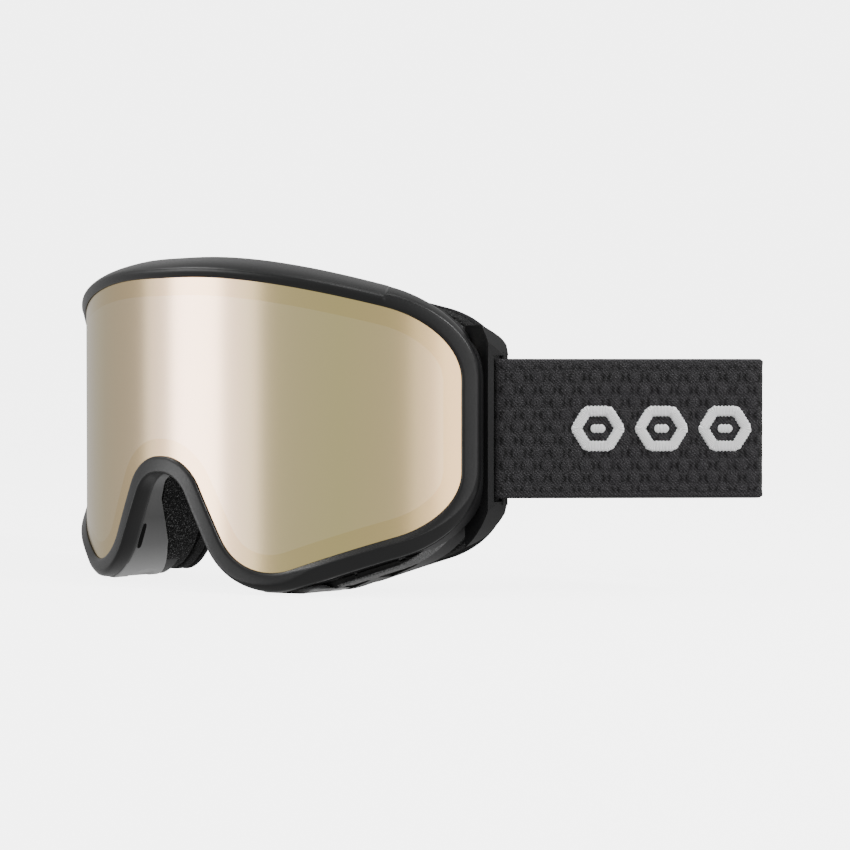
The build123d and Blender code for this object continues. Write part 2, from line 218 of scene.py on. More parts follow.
def keyed(keys, place):
    """Section between two keyed sections, by place along the outline."""
    for (t0, a), (t1, b) in zip(keys[:-1], keys[1:]):
        if t0 <= place <= t1:
            return mix(a, b, (place - t0) / (t1 - t0))
    return keys[-1][1]


# ---------------------------------------------------------------- materials
def material(name, color, rough=0.5, metal=0.0, **sockets):
    mat = bpy.data.materials.new(name)
    mat.use_nodes = True
    shader = mat.node_tree.nodes["Principled BSDF"]
    shader.inputs["Base Color"].default_value = (*color, 1)
    shader.inputs["Roughness"].default_value = rough
    shader.inputs["Metallic"].default_value = metal
    for key, value in sockets.items():
        shader.inputs[key.replace("_", " ")].default_value = value
    return mat


def node(mat, kind, **inputs):
    made = mat.node_tree.nodes.new(kind)
    for key, value in inputs.items():
        made.inputs[key.replace("_", " ")].default_value = value
    return made


def wire(mat, a, out, b, inp):
    mat.node_tree.links.new(a.outputs[out], b.inputs[inp])


def shader_of(mat):
    return mat.node_tree.nodes["Principled BSDF"]


def ramp(mat, source, out, stops, target=None, socket=None):
    made = mat.node_tree.nodes.new("ShaderNodeValToRGB")
    band = made.color_ramp
    while len(band.elements) < len(stops):
        band.elements.new(0.5)
    for element, (pos, col) in zip(band.elements, stops):
        element.position = pos
        element.color = (*col, 1) if len(col) == 3 else col
    wire(mat, source, out, made, "Fac")
    if target:
        wire(mat, made, "Color", target, socket)
    return made


def add_bump(mat, source, out, strength, distance):
    made = node(mat, "ShaderNodeBump", Strength=strength, Distance=distance)
    wire(mat, source, out, made, "Height")
    wire(mat, made, "Normal", shader_of(mat), "Normal")
    return made


def object_coords(mat, scale=(1, 1, 1)):
    coords = mat.node_tree.nodes.new("ShaderNodeTexCoord")
    mapping = node(mat, "ShaderNodeMapping", Scale=scale)
    wire(mat, coords, "Object", mapping, "Vector")
    return mapping


def plastic(name, dark, light, rough, grain, strength, gloss=0.4):
    """Moulded plastic: faint colour drift, varied roughness and a fine texture."""
    mat = material(name, dark, rough, 0.0, Specular_IOR_Level=gloss)
    space = object_coords(mat)
    drift = node(mat, "ShaderNodeTexNoise", Scale=60.0, Detail=3.0)
    wire(mat, space, "Vector", drift, "Vector")
    ramp(mat, drift, "Fac", [(0.3, dark), (0.75, light)], shader_of(mat), "Base Color")
    fine = node(mat, "ShaderNodeTexNoise", Scale=grain, Detail=2.0)
    wire(mat, space, "Vector", fine, "Vector")
    ramp(
        mat, fine, "Fac",
        [(0.3, (rough - 0.05,) * 3), (0.7, (rough + 0.06,) * 3)],
        shader_of(mat), "Roughness",
    )
    add_bump(mat, fine, "Fac", strength, 0.0002)
    return mat


def grey(value, blue=0.0):
    """Neutral colour, a touch bluer where asked."""
    return (value, value, value + blue)


def along_axis(mat, axis, low, high):
    """Node that runs from 0 to 1 between two places along an axis of the object, in metres."""
    coords = mat.node_tree.nodes.new("ShaderNodeTexCoord")
    split = mat.node_tree.nodes.new("ShaderNodeSeparateXYZ")
    wire(mat, coords, "Object", split, "Vector")
    span = node(mat, "ShaderNodeMapRange")
    span.inputs["From Min"].default_value = low
    span.inputs["From Max"].default_value = high
    wire(mat, split, axis, span, "Value")
    return span


def liner_painted_light_material():
    """Satin grey plastic with painted light: painted bright at the foot as if lit from the floor, and painted
    shade dark under the arch.
    """
    mat = plastic("satin_grey", grey(0.055), grey(0.07), 0.36, 2600.0, 0.05, 0.5)
    # painted light and shade: a colour ramp up the height, bright at the foot and dark under the arch
    stops = [(0.05, grey(0.26)), (0.3, grey(0.13)), (0.55, grey(0.06)), (0.85, grey(0.12))]
    ramp(mat, along_axis(mat, "Z", 0.0, 0.036), "Result", stops, shader_of(mat), "Base Color")
    return mat


rim_mat = plastic("satin_black", grey(0.006, 0.0002), grey(0.0085, 0.0003), 0.36, 2600.0, 0.05, 0.28)
frame_mat = plastic("matte_black", grey(0.0065, 0.0003), grey(0.0095, 0.0004), 0.42, 2200.0, 0.08, 0.24)
liner_painted_light_mat = liner_painted_light_material()
slider_mat = plastic("gloss_black", grey(0.006), grey(0.009), 0.25, 1800.0, 0.04)
silicone_mat = plastic("silicone", grey(0.02, 0.001), grey(0.025, 0.001), 0.3, 900.0, 0.05)
# painted shade for the slot's hollow and a painted highlight for its edge
slot_shade_mat = plastic("slot_shade_paint", grey(0.002), grey(0.003), 0.7, 900.0, 0.05, 0.1)
slot_highlight_mat = plastic("slot_painted_highlight", grey(0.12), grey(0.15), 0.35, 900.0, 0.05, 0.5)


def mirror_tint_and_painted_reflection(name, dim):
    """Gold mirror coating whose colour drifts from khaki through cream to pink across the lens: partly the
    coating's tint, partly painted reflection of the surroundings.
    """
    mat = material(name, (0.5, 0.42, 0.3), 0.19, 1.0)
    span = along_axis(mat, "X", -0.085, 0.085)
    # painted reflection: the soft bands of the surroundings laid into the base colour along X, over the
    # coating's own tint
    stops = [
        (0.00, (0.50, 0.41, 0.23)),
        (0.30, (0.50, 0.40, 0.22)),
        (0.45, (0.64, 0.49, 0.31)),
        (0.56, (0.78, 0.55, 0.41)),
        (0.66, (0.76, 0.55, 0.38)),
        (0.75, (0.66, 0.55, 0.29)),
        (0.84, (0.63, 0.54, 0.26)),
        (0.91, (0.66, 0.53, 0.27)),
        (0.96, (0.72, 0.50, 0.28)),
        (0.99, (0.74, 0.49, 0.28)),
    ]
    stops = [(p, tuple(c * d for c, d in zip(col, dim))) for p, col in stops]
    ramp(mat, span, "Result", stops, shader_of(mat), "Base Color")
    return mat


# both lens materials carry the painted reflection bands
lens_tint_and_painted_reflection_mat = mirror_tint_and_painted_reflection("gold_mirror", (1.0, 1.0, 1.0))
band_mat = mirror_tint_and_painted_reflection("gold_mirror_over_gasket", (0.93, 0.9, 0.8))
clear_mat = material("clear_lens", (0.75, 0.72, 0.66), 0.08, 0.0, Transmission_Weight=0.25, Alpha=1.0)


def foam_material(name, base, painted_glint, size, strength):
    """Open-cell foam: dark cells with painted glints, light specks in the colour where the struts would catch
    the light.
    """
    mat = material(name, base, 0.9)
    shader_of(mat).inputs["Specular IOR Level"].default_value = 0.2
    space = object_coords(mat)
    cells = node(mat, "ShaderNodeTexVoronoi", Scale=size)
    cells.feature = "F1"
    wire(mat, space, "Vector", cells, "Vector")
    grit = node(mat, "ShaderNodeTexNoise", Scale=size * 1.4, Detail=4.0, Roughness=0.7)
    wire(mat, space, "Vector", grit, "Vector")
    # painted glints: light specks laid into the base colour
    ramp(
        mat, grit, "Fac",
        [(0.46, base), (0.56, tuple(c * 2.2 for c in base)), (0.66, painted_glint)],
        shader_of(mat), "Base Color",
    )
    add_bump(mat, cells, "Distance", strength, 0.0006)
    return mat


foam_mat = foam_material("open_cell_foam", grey(0.004, 0.0002), grey(0.22), 1500.0, 0.9)
core_mat = foam_material("core_foam", grey(0.005, 0.0002), grey(0.08), 1700.0, 0.8)
fleece_mat = foam_material("fleece", grey(0.01, 0.0005), grey(0.03, 0.001), 2600.0, 0.5)
gasket_mat = foam_material("gasket", grey(0.01), grey(0.02), 2000.0, 0.4)
vent_mat = foam_material("vent_foam", grey(0.006), grey(0.02), 1300.0, 0.5)


def cloth_coords(mat, scale=(1.0, 1.0, 1.0)):
    """Millimetres along and across the cloth, scaled."""
    coords = mat.node_tree.nodes.new("ShaderNodeUVMap")
    coords.uv_map = "cloth"
    mapping = node(mat, "ShaderNodeMapping", Scale=scale)
    wire(mat, coords, "UV", mapping, "Vector")
    return mapping


def calc(mat, operation, *values):
    """Math node; each value is a number or a (node, output) pair."""
    made = mat.node_tree.nodes.new("ShaderNodeMath")
    made.operation = operation
    for i, value in enumerate(values):
        if isinstance(value, tuple):
            mat.node_tree.links.new(value[0].outputs[value[1]], made.inputs[i])
        else:
            made.inputs[i].default_value = value
    return (made, "Value")


CELL_LONG = 5.6
CELL_HIGH = 3.6


def webbing_material():
    """Charcoal elastic webbing: round raised cells in brick rows, crescent shadows, speckled yarns."""
    mat = material("webbing", grey(0.02), 0.9, 0.0, Specular_IOR_Level=0.2)

    def times(a, b):
        return calc(mat, "MULTIPLY", a, b)

    def less(a, b):
        return calc(mat, "SUBTRACT", a, b)

    def plus(a, b):
        return calc(mat, "ADD", a, b)

    def lower(a, b):
        return calc(mat, "MINIMUM", a, b)

    coords = mat.node_tree.nodes.new("ShaderNodeUVMap")
    coords.uv_map = "cloth"
    wobble = node(mat, "ShaderNodeTexNoise", Scale=1.0, Detail=2.0)
    wire(mat, cloth_coords(mat, (0.45, 0.45, 1.0)), "Vector", wobble, "Vector")
    split = mat.node_tree.nodes.new("ShaderNodeSeparateXYZ")
    wire(mat, coords, "UV", split, "Vector")
    along, over = (split, "X"), (split, "Y")

    # distance from the middle of the nearest cell; odd rows are shifted by half a cell
    drift = times(less((wobble, "Fac"), 0.5), 1.6)
    across = calc(mat, "DIVIDE", over, CELL_HIGH)
    odd = times(calc(mat, "FRACT", times(calc(mat, "FLOOR", across), 0.5)), CELL_LONG)
    shifted = calc(mat, "DIVIDE", plus(plus(along, odd), drift), CELL_LONG)
    dx = times(less(calc(mat, "FRACT", shifted), 0.5), CELL_LONG)
    dy = times(less(calc(mat, "FRACT", across), 0.5), CELL_HIGH)
    far = calc(mat, "SQRT", plus(times(dx, dx), times(dy, dy)))

    # crescent shadows on both sides of each cell, none near the selvedge
    gap = calc(mat, "ABSOLUTE", less(far, 2.05))
    near = less(1.0, lower(calc(mat, "DIVIDE", gap, 0.8), 1.0))
    sides = lower(times(calc(mat, "ABSOLUTE", dx), 0.62), 1.0)
    inset = lower(over, less(WEB_WIDTH, over))
    field = lower(calc(mat, "MAXIMUM", less(inset, 1.4), 0.0), 1.0)
    tall = calc(mat, "POWER", calc(mat, "DIVIDE", calc(mat, "ABSOLUTE", dy), 1.55), 3.0)
    short = calc(mat, "MAXIMUM", less(1.0, tall), 0.0)
    patchy = lower(times((wobble, "Fac"), 2.0), 1.0)
    crescent = times(near, calc(mat, "POWER", sides, 1.1))
    crescent = times(times(times(crescent, field), short), patchy)

    grit = node(mat, "ShaderNodeTexNoise", Scale=1.0, Detail=3.0, Roughness=0.85)
    wire(mat, cloth_coords(mat, (2.6, 3.4, 1.0)), "Vector", grit, "Vector")
    twill = node(mat, "ShaderNodeTexWave", Scale=0.62, Distortion=3.5, Detail=2.0, Detail_Scale=2.4)
    twill.bands_direction = "DIAGONAL"
    wire(mat, cloth_coords(mat), "Vector", twill, "Vector")
    yarns = [(0.33, (0.004, 0.0038, 0.0042)), (0.5, (0.017, 0.0163, 0.0175)), (0.66, (0.060, 0.058, 0.061))]
    tone = ramp(mat, grit, "Fac", yarns)
    light = less(plus(0.98, times((twill, "Fac"), 0.5)), times(crescent, 1.05))
    scale = mat.node_tree.nodes.new("ShaderNodeVectorMath")
    scale.operation = "SCALE"
    wire(mat, tone, "Color", scale, "Vector")
    mat.node_tree.links.new(light[0].outputs["Value"], scale.inputs["Scale"])
    wire(mat, scale, "Vector", shader_of(mat), "Base Color")

    dome = times(less(1.0, lower(calc(mat, "DIVIDE", far, 2.4), 1.0)), field)
    height = plus(times(dome, 1.1), times((twill, "Fac"), 0.22))
    height = plus(height, times((grit, "Fac"), 0.35))
    add_bump(mat, height[0], "Value", 0.9, 0.0006)
    return mat


def thread_material(name, dark, light):
    """Satin-stitched thread: close slanting rows."""
    mat = material(name, light, 0.7)
    shader_of(mat).inputs["Sheen Weight"].default_value = 0.3
    rows = node(mat, "ShaderNodeTexWave", Scale=0.75, Distortion=2.2, Detail=2.0, Detail_Scale=2.0)
    wire(mat, cloth_coords(mat), "Vector", rows, "Vector")
    ramp(mat, rows, "Fac", [(0.05, dark), (0.55, light)], shader_of(mat), "Base Color")
    add_bump(mat, rows, "Fac", 0.7, 0.0003)
    return mat


web_mat = webbing_material()
motif_mat = thread_material("white_thread", (0.70, 0.70, 0.705), (0.92, 0.92, 0.925))
tack_mat = thread_material("black_thread", grey(0.008), grey(0.02))


def mesh_material():
    """Fine grey woven mesh."""
    mat = material("vent_mesh", grey(0.2), 0.6)
    space = object_coords(mat)
    weave = node(mat, "ShaderNodeTexBrick", Scale=900.0)
    wire(mat, space, "Vector", weave, "Vector")
    grit = node(mat, "ShaderNodeTexNoise", Scale=2400.0, Detail=2.0)
    wire(mat, space, "Vector", grit, "Vector")
    ramp(mat, grit, "Fac", [(0.42, grey(0.03)), (0.6, grey(0.14))], shader_of(mat), "Base Color")
    add_bump(mat, weave, "Fac", 0.6, 0.0002)
    return mat


mesh_mat = mesh_material()


def paint(obj, mat):
    obj.data.materials.clear()
    obj.data.materials.append(mat)


def cad(name, mat, bevel=0.0):
    """A CAD node that stays: a better material and softened edges."""
    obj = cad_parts[name]
    for item in obj.material_slots:
        item.material = mat
    if not obj.material_slots:
        obj.data.materials.append(mat)
    if bevel:
        mod = obj.modifiers.new("soft_edges", "BEVEL")
        mod.width = bevel / 1000
        mod.segments = 3
        mod.limit_method = "ANGLE"
        mod.angle_limit = math.radians(42)
        mod.harden_normals = False
        smooth = obj.modifiers.new("even_shading", "WEIGHTED_NORMAL")
        smooth.keep_sharp = False
    return obj


# ---------------------------------------------------------------- front rim
# sections as (distance out from the opening's edge, height in front of the lens)
TOP = [
    (-0.3, -0.1), (-0.35, 0.35), (0.3, 0.9), (1.5, 1.4), (2.2, 1.5), (2.8, 1.2), (4.2, -0.8),
    (5.3, -4.2), (6.1, -7.4), (6.2, -8.8), (5.5, -9.8), (4.4, -9.8), (4.2, -0.8), (2.2, -0.1),
]
SIDE = [
    (-0.3, -0.1), (-0.35, 0.3), (-0.1, 0.75), (0.15, 0.85), (3.8, 1.25), (4.2, 1.2), (4.5, 1.0),
    (5.2, 0.2), (5.6, -0.4), (5.7, -1.0), (5.4, -2.0), (4.4, -2.2), (3.6, -1.6), (2.2, -0.1),
]
BASE = [
    (-0.3, -0.1), (-0.35, 0.3), (-0.05, 0.6), (1.2, 1.75), (1.45, 1.85), (1.7, 1.75), (5.0, -0.5),
    (5.4, -0.75), (5.75, -1.3), (6.0, -3.0), (5.7, -7.4), (4.5, -7.4), (4.2, -0.8), (2.2, -0.1),
]
LOBE = [
    (-0.3, -0.1), (-0.35, 0.3), (-0.05, 0.7), (0.9, 1.35), (2.8, 1.55), (3.4, 1.4), (4.7, 0.3),
    (5.1, -0.1), (5.5, -1.0), (5.8, -4.0), (5.3, -7.0), (4.4, -7.0), (4.1, -0.8), (2.2, -0.1),
]
NOSE = [
    (-0.35, -0.1), (-0.4, 0.3), (-0.1, 0.8), (0.2, 0.95), (3.8, 1.35), (4.2, 1.35), (4.5, 1.2),
    (4.8, 0.8), (4.95, 0.1), (5.0, -1.8), (4.75, -4.8), (3.5, -4.9), (3.2, -0.8), (2.0, -0.1),
]
KEYS = [
    (0.0, TOP), (1.1, TOP), (1.95, SIDE), (2.45, SIDE), (3.0, BASE), (3.35, BASE), (3.55, LOBE),
    (3.85, NOSE), (6.0, NOSE),
]


def rounded(obj, name):
    """One level of subdivision."""
    obj.modifiers.new(name, "SUBSURF").levels = 1
    obj.modifiers[name].render_levels = 1


rows = []
for point, normal, place in unrolled(fine=2):
    section = keyed(KEYS, place)
    rows.append([on_lens(*(point + normal * d), h) for d, h in section])
rim = grid_mesh("rim", rows, close_rows=True, close_cols=True)
rounded(rim, "round")
paint(rim, rim_mat)
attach(rim, "goggle")
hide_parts("front_rim")


# ---------------------------------------------------------------- mirror lens
def spans(loop):
    """Top and bottom height of a closed loop at a place across the front."""
    half = [p for p, t in loop]

    def at(x):
        heights = []
        for a, b in zip(half, half[1:] + half[:1]):
            if a.x != b.x and min(a.x, b.x) <= x <= max(a.x, b.x):
                heights.append(a.y + (b.y - a.y) * (x - a.x) / (b.x - a.x))
        return (max(heights), min(heights)) if len(heights) > 1 else None
    return at


def shifted_loop(d):
    """Loop at distance d along the lens surface from the opening's edge, in front-view points."""
    out = []
    for point, normal, place in unrolled(fine=2):
        q = point + normal * d
        out.append((Vector((LENS_R * math.sin(q.x / LENS_R), q.y)), place))
    return out


LENS_LAP = 1.3
BORDER = 5.5
LENS_STRIPS = 440
outer_loop = shifted_loop(LENS_LAP)
inner_loop = shifted_loop(-BORDER)
outer_at = spans(outer_loop)
inner_at = spans(inner_loop)
limit_out = max(p.x for p, t in outer_loop) - 0.002
limit_in = max(p.x for p, t in inner_loop) - 0.002
places = set(-limit_out + 2 * limit_out * i / LENS_STRIPS for i in range(LENS_STRIPS + 1))
places |= {limit_in, -limit_in}
places = sorted(places)
mesh = bpy.data.meshes.new("lens")
bm = bmesh.new()


def strip(levels, faces_of):
    """Vertical strips between matching heights; each item is (x, heights)."""
    previous = None
    for x, heights in levels:
        y = LENS_Y + sag(x)
        column = [bm.verts.new((x / 1000, y / 1000, (MID_Z + h) / 1000)) for h in heights]
        if previous:
            for k, slot in faces_of:
                face = bm.faces.new((previous[k], column[k], column[k + 1], previous[k + 1]))
                face.material_index = slot
                face.smooth = True
        previous = column


inside = []
for x in places:
    if abs(x) <= limit_in:
        (t, b), (ti, bi) = outer_at(x), inner_at(x)
        inside.append((x, (t, ti, bi, b)))
strip(inside, [(0, 1), (1, 0), (2, 1)])
for sign in (-1, 1):
    side_levels = []
    for x in places:
        if x * sign >= limit_in - 1e-9:
            side_levels.append((x, outer_at(x)))
    strip(side_levels, [(0, 1)])
bm.to_mesh(mesh)
bm.free()
lens = link("lens", mesh)
lens.data.materials.append(lens_tint_and_painted_reflection_mat)
lens.data.materials.append(band_mat)
solid = lens.modifiers.new("thickness", "SOLIDIFY")
solid.thickness = 0.0012
solid.offset = 1
crisp = lens.modifiers.new("crisp_edge", "EDGE_SPLIT")
crisp.split_angle = math.radians(35)
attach(lens, "goggle")
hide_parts("outer_lens")

# ---------------------------------------------------------------- hard pieces that stay
cad("inner_lens", clear_mat)
cad("lens_spacer", gasket_mat)
cad("face_frame", frame_mat, 0.45)

# ---------------------------------------------------------------- grey liner under the nose arch
REAR = [(3.4, 31.0), (3.75, 27.0), (3.97, 20.0), (4.19, 15.5), (4.42, 10.5), (4.65, 9.0), (6.0, 9.0)]
LINER_OUT = 4.55
LINER_IN = 3.45
NOTCH_Y = 19.3
NOTCH_RISE = 2.4
NOTCH_HALF = 4.4
GROUND = -MID_Z


def arch(offset, first):
    """The nose arch from the left lobe over the top to the right lobe, as (point, place)."""
    half = [(p, t) for p, t in outline(1.0, -4.0, 7.0, offset, fine=3) if t >= first]
    return half + [(Vector((-p.x, p.y)), t) for p, t in reversed(half[:-1])]


def nose_liner():
    """Curved grey wall under the arch, cut off at the ground with a shallow notch on each side."""
    rows = []
    for (p, t), (q, _) in zip(arch(LINER_OUT, 3.5), arch(LINER_IN, 3.5)):
        front = sag(p.x) + 3.9
        rear = max(front + 2.5, spline(REAR, t))
        row = []
        for k in range(25):
            y = front + (rear - 0.5 - front) * k / 24
            notch = NOTCH_RISE * math.sqrt(max(0.0, 1 - ((y - NOTCH_Y) / NOTCH_HALF) ** 2))
            row.append((p.x, LENS_Y + y, MID_Z + max(p.y, notch + GROUND)))
        near = MID_Z + max(p.y, GROUND)
        away = MID_Z + max(q.y, GROUND)
        row.append((0.7 * p.x + 0.3 * q.x, LENS_Y + rear - 0.1, 0.7 * near + 0.3 * away))
        row.append((q.x, LENS_Y + rear, away))
        row.append((q.x, LENS_Y + front, away))
        rows.append(row)
    liner = grid_mesh("nose_liner", rows, close_cols=True)
    paint(liner, liner_painted_light_mat)
    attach(liner, "goggle")
    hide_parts("nose_bridge")


def liner_slot(label, side, sgn, grow, lift, mat):
    """Flat rounded patch on the liner: painted shade standing for the slot's hollow, or, when grown, a
    painted highlight round its edge.
    """
    first, last = 3.97 - grow * 0.02, 4.19 + grow * 0.02
    path = [p for p, t in outline(1.0, -4.0, 7.0, LINER_OUT + lift, fine=12) if first <= t <= last]
    rows = []
    for index, p in enumerate(path):
        place = index / (len(path) - 1)
        taper = math.sqrt(max(0.0, 1 - abs(2 * place - 1) ** 6))
        half = (0.8 + grow) * taper + 0.02
        middle = LENS_Y + sag(p.x) + 5.9
        rows.append([(sgn * p.x, middle + y, MID_Z + p.y) for y in (-half, half)])
    piece = grid_mesh("%s_%s" % (label, side), rows)
    paint(piece, mat)
    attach(piece, "goggle")


def mesh_strip(side, sgn):
    """Grey mesh ribbon on the step under the rim."""
    top = [p for p, t in outline(1.0, -4.0, 7.2, 3.2, fine=3) if 2.62 <= t <= 3.42]
    under = [p for p, t in outline(1.0, -4.0, 6.7, 3.2, fine=3) if 2.62 <= t <= 3.42]
    rows = []
    for p, q in zip(top, under):
        front = LENS_Y + sag(p.x) + 8.6 - 5.5 * (p.x / HALF) ** 4
        row = []
        for lift, y in ((0, 0), (1, 0.3), (1, 2.0), (1, 4.0), (1, 6.0), (0, 6.3)):
            spot = q.lerp(p, lift)
            row.append((sgn * spot.x, front + y, max(0.1, MID_Z + spot.y)))
        rows.append(row)
    ribbon = grid_mesh("mesh_strip_" + side, rows, close_cols=True)
    paint(ribbon, mesh_mat)
    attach(ribbon, "goggle")
    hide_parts("vent_mesh_" + side)


nose_liner()
# each slot: a painted highlight ring, then a painted-shade patch where the hollow is
for side, sgn in (("left", 1), ("right", -1)):
    liner_slot("slot_painted_highlight", side, sgn, 0.22, 0.06, slot_highlight_mat)
    liner_slot("slot_painted_shade", side, sgn, 0.0, 0.1, slot_shade_mat)
cad("vent_foam_top", vent_mat)
for side, sgn in (("left", 1), ("right", -1)):
    cad("vent_foam_bottom_" + side, vent_mat)
    mesh_strip(side, sgn)
    cad("slider_" + side, slider_mat, 0.4)
    cad("strap_tack_" + side, tack_mat)
cad("strap_grips", silicone_mat, 0.1)

# ---------------------------------------------------------------- face foam
FACE_DEPTH = 26.0
FACE_SAG = SIDE_Y - LENS_Y + 14.0 - FACE_DEPTH
FACE_R = (HALF ** 2 + FACE_SAG ** 2) / (2 * FACE_SAG)
FACE_Y = LENS_Y + FACE_DEPTH + FACE_R


def foam_ring(name, node_name, start, end, mat, crown, pinch, nose=2.6, reach=None):
    """One foam layer: a ring between two face curves, its walls a little crowned."""
    outer = ring(outline(-1.0, -4.6, 5.0, nose, fine=2))
    inner = ring(outline(-12.0, -15.6, -6.0, -5.1, fine=2))
    section = [
        (0.0, 0.0, 0.0), (0.0, 0.12, crown), (0.0, 0.5, crown * 1.3), (0.0, 0.85, crown),
        (0.06, 1.0, 0.0), (0.3, 1.0, 0.0), (0.7, 1.0, 0.0), (0.94, 1.0, 0.0),
        (1.0, 0.85, crown), (1.0, 0.5, crown * 1.3), (1.0, 0.12, crown), (1.0, 0.0, 0.0), (0.5, 0.0, 0.0),
    ]
    rows = []
    for (po, t), (pi, _) in zip(outer, inner):
        across = (pi - po).normalized()
        row = []
        for w, depth, swell in section:
            first = start + (spline(reach, t) if reach else 0.0)
            lift = first + (end - first) * depth
            p = po.lerp(pi, w)
            if w in (0.0, 1.0):
                p = p + across * (swell if w == 1.0 else -swell)
            lift -= pinch if depth == 1.0 and w in (0.06, 0.94) else 0.0
            r = FACE_R - lift
            y = FACE_Y - math.sqrt(max(1.0, r * r - p.x * p.x))
            row.append((p.x, y, max(0.05, MID_Z + p.y)))
        rows.append(row)
    obj = grid_mesh(name, rows, close_rows=True, close_cols=True)
    rounded(obj, "soft")
    paint(obj, mat)
    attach(obj, "goggle")
    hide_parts(node_name)


NOSE_REACH = [
    (3.4, 0.0), (3.75, -4.5), (3.97, -8.5), (4.19, -12.5), (4.42, -16.5), (4.65, -17.5), (6.0, -17.5),
]
foam_ring("pad_base", "face_foam_base", 0.1, 4.5, foam_mat, 0.0, 0.0, 3.9, NOSE_REACH)
foam_ring("pad_core", "face_foam_core", 4.6, 9.0, core_mat, 0.15, 0.2, 3.7)
foam_ring("pad_fleece", "face_fleece", 9.1, 11.0, fleece_mat, 0.35, 0.6, 3.5)


# ---------------------------------------------------------------- webbing
def plan(points, radii, step=0.7):
    """Plan path with rounded corners, sampled: list of (point, direction)."""
    out = []
    cursor = points[0]
    for i in range(1, len(points) - 1):
        d0 = (points[i] - points[i - 1]).normalized()
        d1 = (points[i + 1] - points[i]).normalized()
        turn = d0.angle(d1)
        reach = radii[i - 1] * math.tan(turn / 2)
        a = points[i] - d0 * reach
        length = (a - cursor).length
        n = max(1, round(length / step))
        out += [(cursor.lerp(a, k / n), d0) for k in range(n)]
        sign = 1 if d0.x * d1.y - d0.y * d1.x > 0 else -1
        normal = Vector((-d0.y, d0.x, 0)) * sign
        center = a + normal * radii[i - 1]
        n = max(6, round(radii[i - 1] * turn / step))
        for k in range(n):
            t = turn * k / n
            spot = center - normal * math.cos(t) * radii[i - 1] + d0 * math.sin(t) * radii[i - 1]
            out.append((spot, (d0 * math.cos(t) + normal * math.sin(t)).normalized()))
        cursor = points[i] + d1 * reach
    d = (points[-1] - cursor).normalized()
    n = max(1, round((points[-1] - cursor).length / step))
    out += [(cursor.lerp(points[-1], k / n), d) for k in range(n + 1)]
    return out


def bump_height(u, v):
    """Brick-laid round cells of the raised weave, 0 to 1, at u along and v across in millimetres."""
    row = math.floor(v / CELL_HIGH)
    shift = CELL_LONG / 2 if row % 2 else 0.0
    a = ((u + shift) % CELL_LONG - CELL_LONG / 2) / 2.0
    b = (v % CELL_HIGH - CELL_HIGH / 2) / 1.75
    r = a * a + b * b
    return math.sqrt(1.0 - r) if r < 1 else 0.0


def fade(t, a, b):
    """Eased step from 0 at a to 1 at b."""
    t = min(1.0, max(0.0, (t - a) / (b - a)))
    return t * t * (3 - 2 * t)


def webbing(name, path, raised=None, across=64, mirrored=False):
    """Webbing along a plan path. Its right-hand side is the outer face; raised(u, face) scales the cells."""
    u = 0.0
    last = path[0][0]
    rows = []
    run = []
    half = WEB_WIDTH / 2
    for spot, d in path:
        u += (spot - last).length
        last = spot
        out = Vector((d.y, -d.x, 0))
        row = []
        for face in (1, -1):
            for k in range(across + 1):
                v = -half + WEB_WIDTH * k / across
                if face < 0:
                    v = -v
                edge = half - abs(v)
                round_off = min(1.0, edge / 0.5)
                t = WEB / 2 * math.sqrt(max(0.0, 1 - (1 - round_off) ** 2))
                t *= 0.86 + 0.14 * fade(edge, 2.4, 1.2)
                if raised and edge > 1.6:
                    lift = bump_height(u, v + half) * fade(edge, 1.6, 2.6)
                    t += RELIEF * (lift - 0.45) * raised(u, face)
                p = spot + out * t * face
                row.append((p.x * (-1 if mirrored else 1), p.y, STRAP_Z + v))
        rows.append(row)
        run.append(u)
    size = len(rows[0])

    def uvs(i, j):
        k = j % size
        v = -half + WEB_WIDTH * (k % (across + 1)) / across
        return (run[i] + (500 if k > across else 0), v + half)

    obj = grid_mesh(name, rows, close_cols=True, uvs=uvs)
    paint(obj, web_mat)
    return obj


def stitched(corners, closed):
    """Corner points turned into a close, slightly rounded track."""
    ends = corners[1:] + corners[:1] if closed else corners[1:]
    track = []
    for (x0, z0), (x1, z1) in zip(corners, ends):
        n = max(4, round(math.hypot(x1 - x0, z1 - z0) / 0.2))
        track += [(x0 + (x1 - x0) * k / n, z0 + (z1 - z0) * k / n) for k in range(n)]
    if not closed:
        return track + [corners[-1]]
    for _ in range(12):
        m = len(track)
        track = [
            (
                (track[k - 1][0] + 2 * track[k][0] + track[(k + 1) % m][0]) / 4,
                (track[k - 1][1] + 2 * track[k][1] + track[(k + 1) % m][1]) / 4,
            )
            for k in range(m)
        ]
    return track


def at(along, offset=0.0):
    """Place on the side run, from the slot bar towards the fold and out from its middle layer."""
    return BAR + OUT * (MAIN + offset) + RUN * along


INNER = -2.0
FOLD_BEND = 2.2
BAR_Y = FOLD.y - (WEB / 2 + SLIDER_GAP + WEB + SLIDER_GAP + SLIDER_BAR)
LAP = SLIDER_BAR + SLIDER_GAP + WEB / 2
TAIL_Y = BAR_Y + LAP


